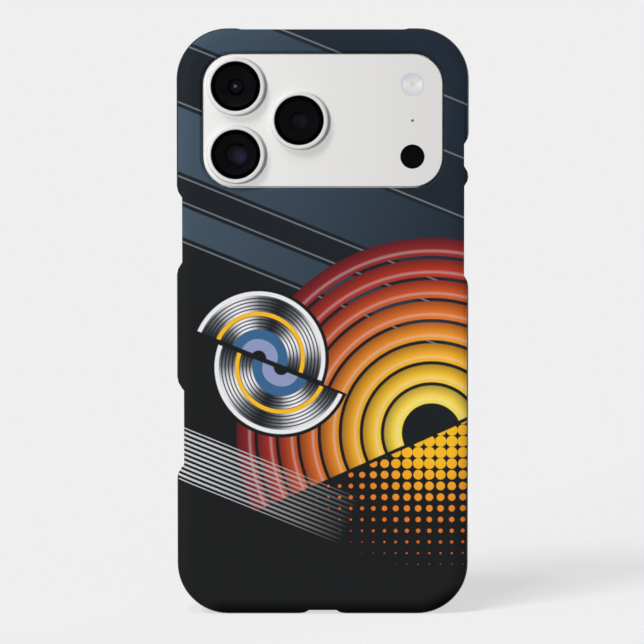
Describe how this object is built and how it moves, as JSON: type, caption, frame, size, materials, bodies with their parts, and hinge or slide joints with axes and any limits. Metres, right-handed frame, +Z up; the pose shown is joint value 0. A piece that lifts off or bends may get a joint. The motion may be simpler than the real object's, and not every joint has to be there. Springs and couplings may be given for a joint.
{
  "type": "smartphone in a printed hard case",
  "caption": "Large smartphone snapped into a satin black printed hard case with a wide camera opening, flared button cut-outs and a charging port notch; stands on its lower edge.",
  "frame": {"origin": "on the floor under the middle of the bounding box", "axes": "+X to the right as seen from the printed back, +Y from the back to the screen, +Z up the long side"},
  "size_m": [0.083, 0.0136, 0.1669],
  "materials": {
    "case_plastic": "satin printed hard plastic",
    "phone_metal": "fine bead-blasted silver anodised",
    "ring_metal": "bright satin machined",
    "lens_cover_glass": "clear polished over black",
    "barrel_black": "matt black",
    "lens_element_glass": "coated polished",
    "flash_clear": "clear with fine rings",
    "flash_silver": "polished",
    "flash_phosphor": "powdery yellow",
    "window_dark": "dark polished",
    "mesh_steel": "fine dark mesh",
    "button_metal": "bead-blasted silver anodised",
    "button_glass": "polished flush strip",
    "port_steel": "drawn",
    "port_plastic": "moulded black",
    "screen_glass": "polished",
    "screen_black": "dark screen, off",
    "sensor_black": "black"
  },
  "bodies": {
    "root": {"action_button": "button_metal", "camera_button": "button_glass", "case_shell": "case_plastic", "depth_sensor_window": "window_dark", "display_glass": "screen_glass", "display_panel": "screen_black", "earpiece_mesh": "mesh_steel", "flash_cover": "flash_clear", "flash_led": "flash_phosphor", "flash_reflector": "flash_silver", "front_camera_lens": "lens_element_glass", "front_sensor_module": "sensor_black", "lens_barrel_1": "barrel_black", "lens_barrel_2": "barrel_black", "lens_barrel_3": "barrel_black", "lens_cover_1": "lens_cover_glass", "lens_cover_2": "lens_cover_glass", "lens_cover_3": "lens_cover_glass", "lens_element_1": "lens_element_glass", "lens_element_2": "lens_element_glass", "lens_element_3": "lens_element_glass", "lens_ring_1": "ring_metal", "lens_ring_2": "ring_metal", "lens_ring_3": "ring_metal", "phone_body": "phone_metal", "port_liner": "port_steel", "port_tongue": "port_plastic", "rear_microphone_mesh": "mesh_steel", "side_button": "button_metal", "speaker_mesh_left": "mesh_steel", "speaker_mesh_right": "mesh_steel", "volume_down_button": "button_metal", "volume_up_button": "button_metal"}
  },
  "joints": []
}
